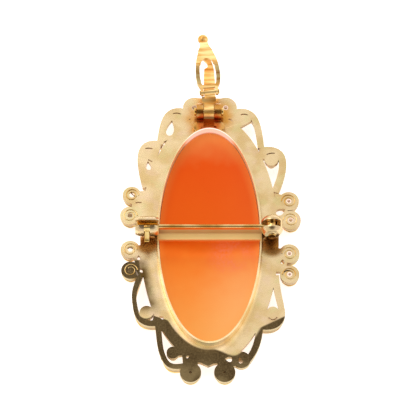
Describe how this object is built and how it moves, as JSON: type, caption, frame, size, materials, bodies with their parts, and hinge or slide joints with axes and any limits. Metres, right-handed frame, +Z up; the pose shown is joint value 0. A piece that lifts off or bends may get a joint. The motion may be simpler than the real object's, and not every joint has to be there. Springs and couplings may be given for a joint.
{
  "type": "cameo pendant",
  "caption": "Oval cameo pendant shown from its back: shell in a pierced gilt scroll frame with a brooch pin, safety catch and hinged clip bail.",
  "frame": {"origin": "middle of the whole outline on the surface that the pendant lies on, face down", "axes": "+X to the right along the brooch pin as seen from the back, +Y towards the bail, +Z up out of the back"},
  "size_m": [0.033, 0.0688, 0.0088],
  "materials": {
    "gilt": "polished",
    "gilt_dark": "polished",
    "shell": "satin"
  },
  "bodies": {
    "pendant": {"frame": "gilt", "cameo": "shell", "bail_hinge_pin": "gilt_dark", "pin_rivet": "gilt_dark"},
    "bail": {"bail_front": "gilt", "bail_clip_pin": "gilt_dark"},
    "clip": {"bail_gate": "gilt"},
    "pin": {"pin_stem": "gilt"},
    "lever": {"catch_lever": "gilt"}
  },
  "joints": [
    {"name": "bail_fold", "type": "hinge", "parent": "pendant", "child": "bail", "pos_m": [-0.00028, 0.01862, 0.0049], "axis": [1, 0, 0], "range_deg": [0, 120]},
    {"name": "clip_open", "type": "hinge", "parent": "bail", "child": "clip", "pos_m": [-0.00017, 0.02242, 0.0054], "axis": [0.994, 0.1097, 0], "range_deg": [0, 60]},
    {"name": "pin_swing", "type": "hinge", "parent": "pendant", "child": "pin", "pos_m": [0.01112, -0.00548, 0.0068], "axis": [0, 1, 0], "range_deg": [0, 100]},
    {"name": "lever_turn", "type": "hinge", "parent": "pendant", "child": "lever", "pos_m": [-0.01148, -0.00548, 0.0068], "axis": [1, 0, 0], "range_deg": [-90, 0]}
  ]
}
